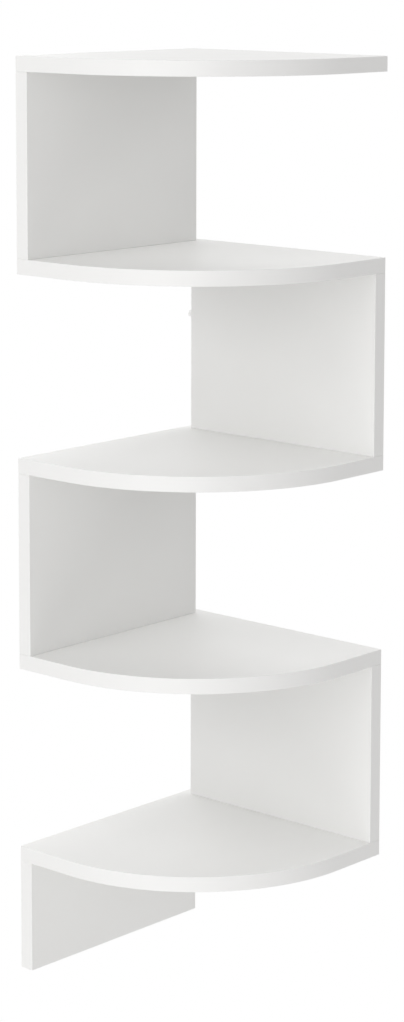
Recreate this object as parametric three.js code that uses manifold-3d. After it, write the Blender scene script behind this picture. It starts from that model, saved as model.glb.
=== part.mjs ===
// A five-shelf corner unit that hangs where two walls meet.
// Five shelves with a rounded front are joined by five upright panels,
// which stand in turn against the left wall and against the right wall.
// Millimetres, +Z up. The line where the walls meet is x = 0, y = 0, the left
// wall is the plane x = 0, the right wall is the plane y = 0, and z = 0 is the
// lower end of the last panel.

import * as THREE from "three";
import { mergeVertices } from "three/addons/utils/BufferGeometryUtils.js";
import Module from "manifold-3d";

const wasm = await Module();
wasm.setup();

// Boards
const shelfCount = 5;
const shelfDepth = 200;
const boardThickness = 12;
const bayHeight = 142.5;
const footHeight = 87;
const frontStraight = 54;
const cornerSetback = 9;
const seamGap = 0.2;
const frontSteps = 28;

// Wooden dowels, two at each joint
const dowelRadius = 3;
const dowelLength = 25;
const dowelInShelf = 8;
const dowelChamfer = 0.8;
const dowelInset = 30;

// Cam lock in the panel and its bolt in the shelf, one pair at each joint
const camRadius = 6;
const camDepth = 9.4;
const camFromEnd = 24;
const camRecess = 0.2;
const camSocketRadius = 3.1;
const camSocketPastCentre = 1.2;
const camSlotLength = 8;
const camSlotWidth = 1.4;
const camSlotDepth = 1.6;
const boltThreadRadius = 2.8;
const boltThreadLength = 8;
const boltStemRadius = 2.2;
const boltNeckRadius = 1.5;
const boltNeckLength = 2.4;
const boltHeadRadius = 2.7;
const boltHeadLength = 3.2;
const boltChamfer = 0.6;

// Hanging plate, let into the wall face of the two uppermost panels
const plateWidth = 17;
const plateHeight = 40;
const plateThickness = 1.5;
const plateCornerRadius = 3;
const keyholeRadius = 4.6;
const keyholeSlotWidth = 4.8;
const keyholeSlotRise = 9;
const keyholeDrop = 3;
const keyholePocketMargin = 0.6;
const keyholePocketDepth = 5.6;
const plateScrewInset = 4.5;
const plateScrewHeadRadius = 2.7;
const plateScrewHeadDepth = 1.3;
const plateScrewShankRadius = 1.4;
const plateScrewLength = 9;
const plateScrewTip = 1.6;

// Spacer stud in the rear edge of the second panel
const studPanel = 2;
const studBelowShelf = 48.5;
const studHeadRadius = 3;
const studHeadLength = 6.8;
const studDome = 1.2;
const studShankRadius = 1.7;
const studShankLength = 18;
const studTip = 2.2;

// Clearances and cutting
const boreClearance = 0.2;
const boreEndClearance = 0.5;
const plateClearance = 0.25;
const cutOverrun = 1;
const boreSides = 12;
const camSides = 18;

// Values that follow from the sizes
const panelWidth = shelfDepth - cornerSetback;
const shelfPitch = bayHeight + boardThickness;
const midThickness = boardThickness / 2;
const frontRadius = shelfDepth - frontStraight;
const boltU = cornerSetback + panelWidth / 2;
const rearDowelU = cornerSetback + dowelInset;
const frontDowelU = shelfDepth - dowelInset;
const dowelInPanel = dowelLength - dowelInShelf;
const plateU = cornerSetback + panelWidth / 2;
const plateScrewRise = plateHeight / 2 - plateScrewInset;

function shelfUnderside(number) {
  return footHeight + (shelfCount - number) * shelfPitch;
}

// Materials
const whiteBoard = { color: 0xefefee, roughness: 0.42, metalness: 0 };
const beech = { color: 0xd9bb8c, roughness: 0.7, metalness: 0 };
const zinc = { color: 0xb4b7ba, roughness: 0.4, metalness: 1 };
const steel = { color: 0xc6c9cc, roughness: 0.3, metalness: 1 };
const whiteNylon = { color: 0xf2f2f0, roughness: 0.4, metalness: 0 };

function makeMesh(name, geometry, look) {
  const mesh = new THREE.Mesh(geometry, new THREE.MeshStandardMaterial(look));
  mesh.name = name;
  return mesh;
}

// Joining and cutting closed surfaces
function toSolid(geometry) {
  const bare = new THREE.BufferGeometry();
  bare.setAttribute("position", geometry.getAttribute("position").clone());
  if (geometry.index) bare.setIndex(geometry.index.clone());
  const merged = mergeVertices(bare);
  return new wasm.Manifold(
    new wasm.Mesh({
      numProp: 3,
      vertProperties: new Float32Array(merged.attributes.position.array),
      triVerts: new Uint32Array(merged.index.array),
    }),
  );
}

function toGeometry(solid) {
  const cut = solid.getMesh();
  const geometry = new THREE.BufferGeometry();
  const count = cut.vertProperties.length / cut.numProp;
  const positions = new Float32Array(count * 3);
  for (let i = 0; i < count; i++) {
    positions.set(cut.vertProperties.subarray(i * cut.numProp, i * cut.numProp + 3), i * 3);
  }
  geometry.setAttribute("position", new THREE.BufferAttribute(positions, 3));
  geometry.setIndex(new THREE.BufferAttribute(new Uint32Array(cut.triVerts), 1));
  geometry.computeVertexNormals();
  return geometry;
}

function cutAway(geometry, cutters) {
  let solid = toSolid(geometry);
  for (const cutter of cutters) solid = solid.subtract(toSolid(cutter));
  return toGeometry(solid);
}

// A round cutter whose flats, not its corners, keep the clearance
function boreAlongZ(radius, bottom, top) {
  const flatRadius = radius / Math.cos(Math.PI / boreSides);
  const cutter = new THREE.CylinderGeometry(flatRadius, flatRadius, top - bottom, boreSides);
  cutter.rotateX(Math.PI / 2);
  cutter.translate(0, 0, (top + bottom) / 2);
  return cutter;
}

function boreAlongY(radius, start, end, sides) {
  const flatRadius = radius / Math.cos(Math.PI / sides);
  const length = Math.abs(end - start);
  const cutter = new THREE.CylinderGeometry(flatRadius, flatRadius, length, sides);
  cutter.translate(0, (start + end) / 2, 0);
  return cutter;
}

function boreAlongX(radius, start, end) {
  const flatRadius = radius / Math.cos(Math.PI / boreSides);
  const cutter = new THREE.CylinderGeometry(flatRadius, flatRadius, end - start, boreSides);
  cutter.rotateZ(Math.PI / 2);
  cutter.translate((start + end) / 2, 0, 0);
  return cutter;
}

function boxBetween(low, high) {
  const box = new THREE.BoxGeometry(high[0] - low[0], high[1] - low[1], high[2] - low[2]);
  box.translate((high[0] + low[0]) / 2, (high[1] + low[1]) / 2, (high[2] + low[2]) / 2);
  return box;
}

// A turned piece about Z: the profile lists radius and height from bottom to top
function turned(profile, sides) {
  const points = profile.map(([radius, height]) => new THREE.Vector2(radius, height));
  const body = new THREE.LatheGeometry(points, sides);
  body.rotateX(Math.PI / 2);
  return body;
}

// Places of the fittings at a joint, measured along the wall from the corner
const jointFittings = [
  { u: rearDowelU, radius: dowelRadius, shelfBore: dowelInShelf, panelBore: dowelInPanel },
  { u: boltU, radius: boltThreadRadius, shelfBore: boltThreadLength, panelBore: camFromEnd },
  { u: frontDowelU, radius: dowelRadius, shelfBore: dowelInShelf, panelBore: dowelInPanel },
];

function isLeft(number) {
  return number % 2 === 1;
}

// Shelf board: square at the wall corner, short straight ends, round front
function shelfGeometry(number) {
  const outline = new THREE.Shape();
  outline.moveTo(0, 0);
  outline.lineTo(0, -shelfDepth);
  outline.lineTo(frontStraight, -shelfDepth);
  outline.absarc(frontStraight, -frontStraight, frontRadius, -Math.PI / 2, 0, false);
  outline.lineTo(shelfDepth, 0);
  outline.closePath();
  const board = new THREE.ExtrudeGeometry(outline, {
    depth: boardThickness,
    bevelEnabled: false,
    curveSegments: frontSteps,
  });
  const cutters = [];
  for (const fitting of jointFittings) {
    const bore = fitting.shelfBore + boreEndClearance;
    const radius = fitting.radius + boreClearance;
    if (number > 1) {
      const down = boreAlongZ(radius, boardThickness - bore, boardThickness + cutOverrun);
      cutters.push(placeAtWall(down, number - 1, fitting.u));
    }
    const up = boreAlongZ(radius, -cutOverrun, bore);
    cutters.push(placeAtWall(up, number, fitting.u));
  }
  return cutAway(board, cutters);
}

// Moves a cutter to the middle of the panel that stands on or under the shelf
function placeAtWall(cutter, panelNumber, u) {
  if (isLeft(panelNumber)) cutter.translate(midThickness, -u, 0);
  else cutter.translate(u, -midThickness, 0);
  return cutter;
}

// Upright panel. Its own frame runs along the wall from the corner (x), away
// from the wall (y, times inward) and up from the panel's lower end (z).
function panelHeight(number) {
  return number === shelfCount ? footHeight - seamGap : bayHeight - 2 * seamGap;
}

function hasHangingPlate(number) {
  return number <= 2;
}

function endsOf(number) {
  return number === shelfCount ? ["top"] : ["top", "foot"];
}

// Round opening below, narrow slot above it
function keyholeOutline() {
  const slot = keyholeSlotWidth / 2;
  const meet = Math.asin(slot / keyholeRadius);
  const outline = new THREE.Shape();
  outline.moveTo(slot, keyholeSlotRise);
  outline.absarc(0, keyholeSlotRise, slot, 0, Math.PI, false);
  const start = Math.PI / 2 + meet;
  outline.absarc(0, 0, keyholeRadius, start, start + 2 * (Math.PI - meet), false);
  outline.closePath();
  return outline;
}

// Wide all the way up, so that the wall screw's head can rise behind the slot
function pocketOutline() {
  const half = keyholeRadius + keyholePocketMargin;
  const outline = new THREE.Shape();
  outline.moveTo(half, keyholeSlotRise);
  outline.absarc(0, keyholeSlotRise, half, 0, Math.PI, false);
  outline.absarc(0, 0, half, Math.PI, 2 * Math.PI, false);
  outline.closePath();
  return outline;
}

// Extrudes an outline drawn in width and height to a piece standing at the wall
function standingAtWall(outline, inward, near, far, segments) {
  const piece = new THREE.ExtrudeGeometry(outline, {
    depth: far - near,
    bevelEnabled: false,
    curveSegments: segments,
  });
  piece.rotateX(Math.PI / 2);
  piece.translate(0, inward > 0 ? far : -near, 0);
  return piece;
}

function plateOutline(grow) {
  const w = plateWidth / 2 + grow;
  const h = plateHeight / 2 + grow;
  const r = plateCornerRadius + grow;
  const outline = new THREE.Shape();
  outline.moveTo(w, h - r);
  outline.absarc(w - r, h - r, r, 0, Math.PI / 2, false);
  outline.absarc(-w + r, h - r, r, Math.PI / 2, Math.PI, false);
  outline.absarc(-w + r, -h + r, r, Math.PI, 1.5 * Math.PI, false);
  outline.absarc(w - r, -h + r, r, 1.5 * Math.PI, 2 * Math.PI, false);
  outline.closePath();
  return outline;
}

function panelGeometry(number, inward) {
  const height = panelHeight(number);
  const low = [cornerSetback, Math.min(0, inward * boardThickness), 0];
  const high = [shelfDepth, Math.max(0, inward * boardThickness), height];
  const board = boxBetween(low, high);
  const cutters = [];
  for (const end of endsOf(number)) {
    for (const fitting of jointFittings) {
      const radius = fitting.radius + boreClearance;
      const bore = fitting.panelBore + boreEndClearance;
      const cutter =
        end === "top"
          ? boreAlongZ(radius, height - bore, height + cutOverrun)
          : boreAlongZ(radius, -cutOverrun, bore);
      cutter.translate(fitting.u, inward * midThickness, 0);
      cutters.push(cutter);
    }
    const pocketFar = inward * (camRecess + camDepth + boreClearance);
    const pocket = boreAlongY(
      camRadius + boreClearance,
      -inward * cutOverrun,
      pocketFar,
      camSides,
    );
    pocket.translate(boltU, 0, end === "top" ? height - camFromEnd : camFromEnd);
    cutters.push(pocket);
  }
  if (hasHangingPlate(number)) cutters.push(...plateCutters(number, inward));
  if (number === studPanel) {
    const stud = boreAlongX(
      studShankRadius + boreClearance,
      cornerSetback - cutOverrun,
      cornerSetback + studShankLength + boreEndClearance,
    );
    stud.translate(0, inward * midThickness, height - studBelowShelf);
    cutters.push(stud);
  }
  return cutAway(board, cutters);
}

// Recess for the plate, pocket for the wall screw's head, and two screw bores
function plateCutters(number, inward) {
  const middle = panelHeight(number) / 2;
  const recessDepth = plateThickness + plateClearance;
  const recess = standingAtWall(
    plateOutline(plateClearance),
    inward,
    -cutOverrun,
    recessDepth,
    4,
  );
  recess.translate(plateU, 0, middle);
  const pocket = standingAtWall(
    pocketOutline(),
    inward,
    0,
    recessDepth + keyholePocketDepth,
    8,
  );
  pocket.translate(plateU, 0, middle - keyholeDrop);
  const bores = [1, -1].map((side) => {
    const bore = boreAlongY(
      plateScrewShankRadius + boreClearance,
      0,
      inward * (plateScrewLength + boreEndClearance),
      boreSides,
    );
    bore.translate(plateU, 0, middle + side * plateScrewRise);
    return bore;
  });
  return [recess, pocket, ...bores];
}

function plateGeometry(inward) {
  const outline = plateOutline(0);
  const plate = standingAtWall(outline, inward, 0, plateThickness, 4);
  const keyhole = standingAtWall(
    keyholeOutline(),
    inward,
    -cutOverrun,
    plateThickness + cutOverrun,
    8,
  );
  keyhole.translate(0, 0, -keyholeDrop);
  const sinks = [1, -1].map((side) => {
    const sink = turned(screwProfile(boreClearance, cutOverrun), boreSides);
    sink.rotateX((inward * Math.PI) / 2);
    sink.translate(0, 0, side * plateScrewRise);
    return sink;
  });
  return cutAway(plate, [keyhole, ...sinks]);
}

// Countersunk screw, drawn from its tip (negative) to its head's face (zero)
function screwProfile(grow, over) {
  const head = plateScrewHeadRadius + grow;
  const shank = plateScrewShankRadius + grow;
  return [
    [0, -plateScrewLength],
    [shank, -plateScrewLength + plateScrewTip],
    [shank, -plateScrewHeadDepth],
    [head, 0],
    [head, over],
    [0, over],
  ];
}

function screwGeometry(inward) {
  const screw = turned(screwProfile(0, 0).filter((point, i) => i !== 4), boreSides);
  screw.rotateX((inward * Math.PI) / 2);
  return screw;
}

function dowelGeometry() {
  const face = dowelRadius - dowelChamfer;
  const profile = [
    [0, 0],
    [face, 0],
    [dowelRadius, dowelChamfer],
    [dowelRadius, dowelLength - dowelChamfer],
    [face, dowelLength],
    [0, dowelLength],
  ];
  return turned(profile, boreSides);
}

// Cam: a short drum with a socket for the bolt's head and a cross slot
function camGeometry(inward, towardsEnd) {
  const drum = new THREE.CylinderGeometry(camRadius, camRadius, camDepth, camSides);
  drum.translate(0, inward * (camRecess + camDepth / 2), 0);
  const socket =
    towardsEnd > 0
      ? boreAlongZ(camSocketRadius, -camSocketPastCentre, camRadius + cutOverrun)
      : boreAlongZ(camSocketRadius, -camRadius - cutOverrun, camSocketPastCentre);
  socket.translate(0, inward * midThickness, 0);
  const half = camSlotLength / 2;
  const thin = camSlotWidth / 2;
  const slotFar = inward * (camRecess + camSlotDepth);
  const slotNear = -inward * cutOverrun;
  const yLow = Math.min(slotFar, slotNear);
  const yHigh = Math.max(slotFar, slotNear);
  const upright = boxBetween([-thin, yLow, -half], [thin, yHigh, half]);
  const level = boxBetween([-half, yLow, -thin], [half, yHigh, thin]);
  return cutAway(drum, [socket, upright, level]);
}

// Bolt: thread in the shelf, stem in the panel, head in the cam. Zero is the
// shelf's face.
function boltGeometry() {
  const tip = camFromEnd + seamGap;
  const neckStart = tip - boltHeadLength - boltNeckLength;
  const profile = [
    [0, -boltThreadLength],
    [boltThreadRadius - boltChamfer, -boltThreadLength],
    [boltThreadRadius, -boltThreadLength + boltChamfer],
    [boltThreadRadius, 0],
    [boltStemRadius, boltChamfer],
    [boltStemRadius, neckStart],
    [boltNeckRadius, neckStart + boltChamfer],
    [boltNeckRadius, tip - boltHeadLength],
    [boltHeadRadius, tip - boltHeadLength + boltChamfer],
    [boltHeadRadius, tip - boltChamfer],
    [boltNeckRadius, tip],
    [0, tip],
  ];
  return turned(profile, boreSides);
}

// Stud, drawn along -x from the panel's rear edge at zero
function studGeometry() {
  const headEnd = seamGap + studHeadLength;
  const profile = [
    [0, -studShankLength],
    [studShankRadius, -studShankLength + studTip],
    [studShankRadius, seamGap],
    [studHeadRadius, seamGap],
    [studHeadRadius, headEnd - studDome],
    [studHeadRadius - studDome, headEnd],
    [0, headEnd],
  ];
  const stud = turned(profile, boreSides);
  stud.rotateY(-Math.PI / 2);
  return stud;
}

const unit = new THREE.Group();
unit.name = "corner_shelf_unit";

// Shelves are counted from the top
for (let number = 1; number <= shelfCount; number++) {
  const shelf = makeMesh("shelf_" + number, shelfGeometry(number), whiteBoard);
  shelf.position.z = shelfUnderside(number);
  unit.add(shelf);
}

// Panel of the same number hangs under its shelf
for (let number = 1; number <= shelfCount; number++) {
  const inward = isLeft(number) ? 1 : -1;
  const height = panelHeight(number);
  const name = "side_panel_" + number;
  const bay = new THREE.Group();
  bay.position.z = shelfUnderside(number) - seamGap - height;
  if (isLeft(number)) bay.rotation.z = -Math.PI / 2;
  bay.add(makeMesh(name, panelGeometry(number, inward), whiteBoard));

  for (const end of endsOf(number)) {
    const towardsEnd = end === "top" ? 1 : -1;
    const shelfFace = end === "top" ? height + seamGap : -seamGap;
    for (const [place, u] of [
      ["rear", rearDowelU],
      ["front", frontDowelU],
    ]) {
      const dowel = makeMesh(name + "_" + end + "_dowel_" + place, dowelGeometry(), beech);
      const low = towardsEnd > 0 ? shelfFace + dowelInShelf - dowelLength : shelfFace - dowelInShelf;
      dowel.position.set(u, inward * midThickness, low);
      bay.add(dowel);
    }
    const cam = makeMesh(name + "_" + end + "_cam", camGeometry(inward, towardsEnd), zinc);
    cam.position.set(boltU, 0, towardsEnd > 0 ? height - camFromEnd : camFromEnd);
    bay.add(cam);
    const bolt = makeMesh(name + "_" + end + "_cam_bolt", boltGeometry(), steel);
    bolt.position.set(boltU, inward * midThickness, shelfFace);
    if (towardsEnd > 0) bolt.rotation.x = Math.PI;
    bay.add(bolt);
  }

  if (hasHangingPlate(number)) {
    const middle = height / 2;
    const plate = makeMesh(name + "_hanging_plate", plateGeometry(inward), steel);
    plate.position.set(plateU, 0, middle);
    bay.add(plate);
    for (const [place, side] of [
      ["upper", 1],
      ["lower", -1],
    ]) {
      const screw = makeMesh(name + "_plate_screw_" + place, screwGeometry(inward), steel);
      screw.position.set(plateU, 0, middle + side * plateScrewRise);
      bay.add(screw);
    }
  }

  if (number === studPanel) {
    const stud = makeMesh(name + "_edge_stud", studGeometry(), whiteNylon);
    stud.position.set(cornerSetback, inward * midThickness, height - studBelowShelf);
    bay.add(stud);
  }
  unit.add(bay);
}

export default unit;
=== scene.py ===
import math

import bmesh
import bpy
from mathutils import Matrix, Vector


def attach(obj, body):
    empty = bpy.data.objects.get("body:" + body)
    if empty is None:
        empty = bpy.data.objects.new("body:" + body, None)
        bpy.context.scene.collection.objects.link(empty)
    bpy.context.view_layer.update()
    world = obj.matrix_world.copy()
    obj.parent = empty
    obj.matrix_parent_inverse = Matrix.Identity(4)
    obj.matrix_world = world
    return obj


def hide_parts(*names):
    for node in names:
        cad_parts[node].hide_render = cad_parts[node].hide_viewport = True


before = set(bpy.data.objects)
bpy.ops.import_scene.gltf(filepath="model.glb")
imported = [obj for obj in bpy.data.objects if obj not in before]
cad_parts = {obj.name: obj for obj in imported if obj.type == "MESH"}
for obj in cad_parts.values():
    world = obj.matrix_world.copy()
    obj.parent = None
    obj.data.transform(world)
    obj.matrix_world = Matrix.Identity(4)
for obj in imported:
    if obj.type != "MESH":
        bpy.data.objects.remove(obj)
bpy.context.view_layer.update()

print("frame loaded:", len(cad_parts), "solids")


def linkObject(name, data):
    piece = bpy.data.objects.new(name, data)
    bpy.context.scene.collection.objects.link(piece)
    return piece


# The camera stands in front of the room corner, a little above the top shelf
camera = {
    "place": (1.5176, -1.6728, 0.8066),
    "azimuth": 41.402,
    "lookDown": 7.572,
    "roll": 0.195,
    "focalPixels": 2783.0,
    "frame": (404, 1022),
    "opticalCentre": (232.0, 306.5),
    "sensorWidth": 36.0,
    "clipEnd": 50.0,
}


def placeCamera(values):
    data = bpy.data.cameras.new("viewCamera")
    view = linkObject("viewCamera", data)
    wide, high = values["frame"]
    longSide = max(wide, high)
    data.sensor_width = values["sensorWidth"]
    data.lens = values["focalPixels"] / longSide * data.sensor_width
    data.shift_x = (wide / 2 - values["opticalCentre"][0]) / longSide
    data.shift_y = (values["opticalCentre"][1] - high / 2) / longSide
    data.clip_end = values["clipEnd"]
    turn = Matrix.Rotation(math.radians(values["azimuth"]), 4, "Z")
    tilt = Matrix.Rotation(math.radians(90 - values["lookDown"]), 4, "X")
    roll = Matrix.Rotation(math.radians(values["roll"]), 4, "Z")
    view.matrix_world = Matrix.Translation(values["place"]) @ turn @ tilt @ roll
    bpy.context.scene.camera = view


placeCamera(camera)

nodeSpacing = (180, 160)  # only for reading a tree in the node editor
touching = 0.000001  # points closer than this, in metres, are one point
nearly = 0.0001  # an edge this close to a face lies on it
noiseRoughness = 0.55


# Feeds a node's sockets with values, nodes or other sockets
def feed(tree, node, inputs):
    for key, value in inputs.items():
        for one in value if isinstance(value, list) else [value]:
            if isinstance(one, bpy.types.Node):
                one = one.outputs[0]
            if isinstance(one, bpy.types.NodeSocket):
                tree.links.new(one, node.inputs[key])
            else:
                node.inputs[key].default_value = one


def addNode(tree, kind, inputs=None, **settings):
    node = tree.nodes.new(kind)
    count = len(tree.nodes)
    node.location = (count * nodeSpacing[0], -(count % 4) * nodeSpacing[1])
    for key, value in settings.items():
        setattr(node, key, value)
    feed(tree, node, inputs or {})
    return node


def calc(tree, operation, first, second=0.0):
    return addNode(tree, "ShaderNodeMath", {0: first, 1: second}, operation=operation)


def mixTones(tree, share, first, second):
    return addNode(tree, "ShaderNodeMix", {0: share, 6: first, 7: second}, data_type="RGBA").outputs[2]


def noise(tree, place, size, detail=3.0, distortion=0.0):
    values = {"Vector": place, "Scale": 1 / size, "Detail": detail}
    values.update({"Roughness": noiseRoughness, "Distortion": distortion})
    return addNode(tree, "ShaderNodeTexNoise", values).outputs["Fac"]


def spread(tree, value, low, high, start=0.0, end=1.0):
    values = {"Value": value, "From Min": start, "From Max": end, "To Min": low, "To Max": high}
    return addNode(tree, "ShaderNodeMapRange", values).outputs[0]


def addBump(tree, shader, height, strength, distance):
    values = {"Strength": strength, "Distance": distance, "Height": height}
    feed(tree, shader, {"Normal": addNode(tree, "ShaderNodeBump", values)})


def newMaterial(name):
    material = bpy.data.materials.new(name)
    material.use_nodes = True
    tree = material.node_tree
    tree.nodes.clear()
    shader = addNode(tree, "ShaderNodeBsdfPrincipled")
    addNode(tree, "ShaderNodeOutputMaterial", {"Surface": shader})
    place = addNode(tree, "ShaderNodeTexCoord").outputs["Object"]
    return material, tree, shader, place


# Sizes that the boards share, in metres
boards = {
    "count": 5,
    "depth": 0.200,
    "straight": 0.054,  # straight end of a shelf's front edge, at each wall
    "thickness": 0.012,
    "bay": 0.1425,
    "foot": 0.087,
    "setback": 0.009,  # a panel stops this far from the room corner
    "tightSeam": 0.00002,
    "softEdge": 0.0003,
    "jointEdge": 0.00004,
    "edgeSteps": 3,
    "frontSteps": 96,
    "boreSides": 32,
    "overrun": 0.001,  # a cutter stands out of the board by this
}

# Satin white laminate, with a thin strip of smoother band on the front edges
laminate = {
    "dullTone": (0.850, 0.850, 0.838, 1),
    "brightTone": (0.878, 0.878, 0.868, 1),
    "bandTone": (0.885, 0.885, 0.876, 1),
    "seamTone": (0.72, 0.72, 0.71, 1),
    "cloudSize": 0.11,
    "pearlSize": 0.0011,
    "pearlDetail": 2.0,
    "smearSize": 0.026,
    "smearDetail": 4.0,
    "roughest": 0.50,
    "smoothest": 0.38,
    "bandRoughness": 0.32,
    "bandWidth": 0.0008,
    "seamWidth": 0.00014,
    "pearlShare": 0.35,
    "reliefStrength": 0.35,
    "reliefHeight": 0.00004,
}


def makeLaminate(values):
    material, tree, shader, place = newMaterial("whiteLaminate")
    clouds = noise(tree, place, values["cloudSize"])
    surface = mixTones(tree, clouds, values["dullTone"], values["brightTone"])
    # Distance from the rounded outline in plan, zero on the front edge
    parts = addNode(tree, "ShaderNodeSeparateXYZ", {0: place}).outputs
    squares = []
    for distance in (parts[0], calc(tree, "MULTIPLY", parts[1], -1.0)):
        beyond = calc(tree, "MAXIMUM", calc(tree, "SUBTRACT", distance, boards["straight"]), 0.0)
        squares.append(calc(tree, "POWER", beyond, 2.0))
    fromCentre = calc(tree, "SQRT", calc(tree, "ADD", *squares))
    inset = calc(tree, "SUBTRACT", boards["depth"] - boards["straight"], fromCentre)
    onBand = calc(tree, "LESS_THAN", inset, values["bandWidth"])
    fromSeam = calc(tree, "ABSOLUTE", calc(tree, "SUBTRACT", inset, values["bandWidth"]))
    onSeam = calc(tree, "LESS_THAN", fromSeam, values["seamWidth"] / 2)
    banded = mixTones(tree, onBand, surface, values["bandTone"])
    colour = mixTones(tree, onSeam, banded, values["seamTone"])
    smear = noise(tree, place, values["smearSize"], values["smearDetail"])
    gloss = spread(tree, smear, values["smoothest"], values["roughest"])
    finish = addNode(tree, "ShaderNodeMix", {0: onBand, 2: gloss, 3: values["bandRoughness"]})
    feed(tree, shader, {"Base Color": colour, "Roughness": finish})
    pearl = noise(tree, place, values["pearlSize"], values["pearlDetail"])
    relief = calc(tree, "SUBTRACT", calc(tree, "MULTIPLY", pearl, values["pearlShare"]), onSeam)
    addBump(tree, shader, relief, values["reliefStrength"], values["reliefHeight"])
    return material


# Turned beech with upright grain and short dark flecks
beech = {
    "pale": (0.68, 0.48, 0.28, 1),
    "dark": (0.50, 0.31, 0.16, 1),
    "fleck": (0.33, 0.19, 0.09, 1),
    "grainScale": (900.0, 900.0, 60.0),
    "grainDetail": 5.0,
    "grainTwist": 0.4,
    "fleckScale": (2600.0, 2600.0, 500.0),
    "fleckDetail": 1.0,
    "fleckLimit": 0.66,
    "smoothest": 0.55,
    "roughest": 0.75,
    "grainStrength": 0.5,
    "grainHeight": 0.00008,
}


def makeBeech(values):
    material, tree, shader, place = newMaterial("turnedBeech")
    stretched = addNode(tree, "ShaderNodeMapping", {"Vector": place, "Scale": values["grainScale"]})
    grain = noise(tree, stretched, 1.0, values["grainDetail"], values["grainTwist"])
    shrunk = addNode(tree, "ShaderNodeMapping", {"Vector": place, "Scale": values["fleckScale"]})
    spots = noise(tree, shrunk, 1.0, values["fleckDetail"])
    flecks = calc(tree, "GREATER_THAN", spots, values["fleckLimit"])
    wood = mixTones(tree, grain, values["pale"], values["dark"])
    colour = mixTones(tree, flecks, wood, values["fleck"])
    roughness = spread(tree, grain, values["smoothest"], values["roughest"])
    feed(tree, shader, {"Base Color": colour, "Roughness": roughness})
    addBump(tree, shader, grain, values["grainStrength"], values["grainHeight"])
    return material


# Bare metals: cast zinc is duller and grainier than plated steel
metals = {
    "castZinc": {
        "pale": (0.50, 0.505, 0.51, 1),
        "dark": (0.36, 0.365, 0.37, 1),
        "smoothest": 0.36,
        "roughest": 0.56,
        "spotSize": 0.0035,
        "spotDetail": 4.0,
        "grainSize": 0.0004,
        "grainStrength": 0.6,
        "grainHeight": 0.00004,
    },
    "platedSteel": {
        "pale": (0.52, 0.53, 0.545, 1),
        "dark": (0.40, 0.41, 0.43, 1),
        "smoothest": 0.34,
        "roughest": 0.50,
        "spotSize": 0.0045,
        "spotDetail": 4.0,
        "grainSize": 0.0003,
        "grainStrength": 0.6,
        "grainHeight": 0.000012,
    },
}


def makeMetal(name):
    values = metals[name]
    material, tree, shader, place = newMaterial(name)
    spots = noise(tree, place, values["spotSize"], values["spotDetail"])
    grain = noise(tree, place, values["grainSize"])
    uneven = calc(tree, "MULTIPLY", calc(tree, "ADD", grain, spots), 0.5)
    colour = mixTones(tree, spots, values["dark"], values["pale"])
    roughness = spread(tree, uneven, values["smoothest"], values["roughest"])
    feed(tree, shader, {"Base Color": colour, "Roughness": roughness, "Metallic": 1.0})
    addBump(tree, shader, grain, values["grainStrength"], values["grainHeight"])
    return material


# White nylon, a little cloudy, with a fine moulded grain
nylon = {
    "milky": (0.875, 0.875, 0.868, 1),
    "bright": (0.925, 0.925, 0.92, 1),
    "cloudSize": 0.0016,
    "grainSize": 0.0004,
    "grainDetail": 2.0,
    "grainStrength": 0.5,
    "grainHeight": 0.00001,
    "smoothest": 0.34,
    "roughest": 0.48,
    "glow": 0.6,
    "glowTint": (1.0, 1.0, 0.95),
    "glowDepth": 0.003,
}


def makeNylon(values):
    material, tree, shader, place = newMaterial("whiteNylon")
    clouds = noise(tree, place, values["cloudSize"])
    feed(
        tree,
        shader,
        {
            "Subsurface Weight": values["glow"],
            "Subsurface Radius": values["glowTint"],
            "Subsurface Scale": values["glowDepth"],
            "Base Color": mixTones(tree, clouds, values["milky"], values["bright"]),
            "Roughness": spread(tree, clouds, values["smoothest"], values["roughest"]),
        },
    )
    grain = noise(tree, place, values["grainSize"], values["grainDetail"])
    addBump(tree, shader, grain, values["grainStrength"], values["grainHeight"])
    return material


whiteLaminate = makeLaminate(laminate)
turnedBeech = makeBeech(beech)
castZinc = makeMetal("castZinc")
platedSteel = makeMetal("platedSteel")
whiteNylon = makeNylon(nylon)
print("materials ready")


def underside(number):
    return boards["foot"] + (boards["count"] - number) * (boards["bay"] + boards["thickness"])


# Odd panels stand on the left wall, even ones on the right wall
def onLeft(number):
    return number % 2 == 1


def panelEnds(number):
    return ("top", "foot") if number < boards["count"] else ("top",)


# Heights of the faces that a panel meets: shelf below or nothing, and shelf above
def panelSpan(number):
    low = underside(number + 1) + boards["thickness"] if number < boards["count"] else 0.0
    return low, underside(number)


# Turns (along the wall, away from the wall, up) into the unit's own frame
def atWall(number, along, away, up):
    return Vector((away, -along, up)) if onLeft(number) else Vector((along, -away, up))


def towardsWall(number):
    return Vector((-1, 0, 0)) if onLeft(number) else Vector((0, 1, 0))


# Angles that turn a piece drawn along Z, with its top side at Y, to a new place
def turnTo(outward, upward):
    side = upward.cross(outward)
    return Matrix((side, upward, outward)).transposed().to_euler()


def frozenMesh(piece, name):
    seen = piece.evaluated_get(bpy.context.evaluated_depsgraph_get())
    mesh = bpy.data.meshes.new_from_object(seen)
    mesh.name = name
    return mesh


# Angles between two faces, in degrees
angles = {
    "smoothBelow": 13,
    "boardEdge": 40,
    "plateRim": 70,
}


def finishPiece(name, mesh, nodes, material):
    piece = linkObject(name, mesh)
    mesh.materials.clear()
    mesh.materials.append(material)
    mesh.polygons.foreach_set("material_index", [0] * len(mesh.polygons))
    mesh.polygons.foreach_set("use_smooth", [True] * len(mesh.polygons))
    mesh.set_sharp_from_angle(angle=math.radians(angles["smoothBelow"]))
    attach(piece, "root")
    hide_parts(*nodes)


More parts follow.
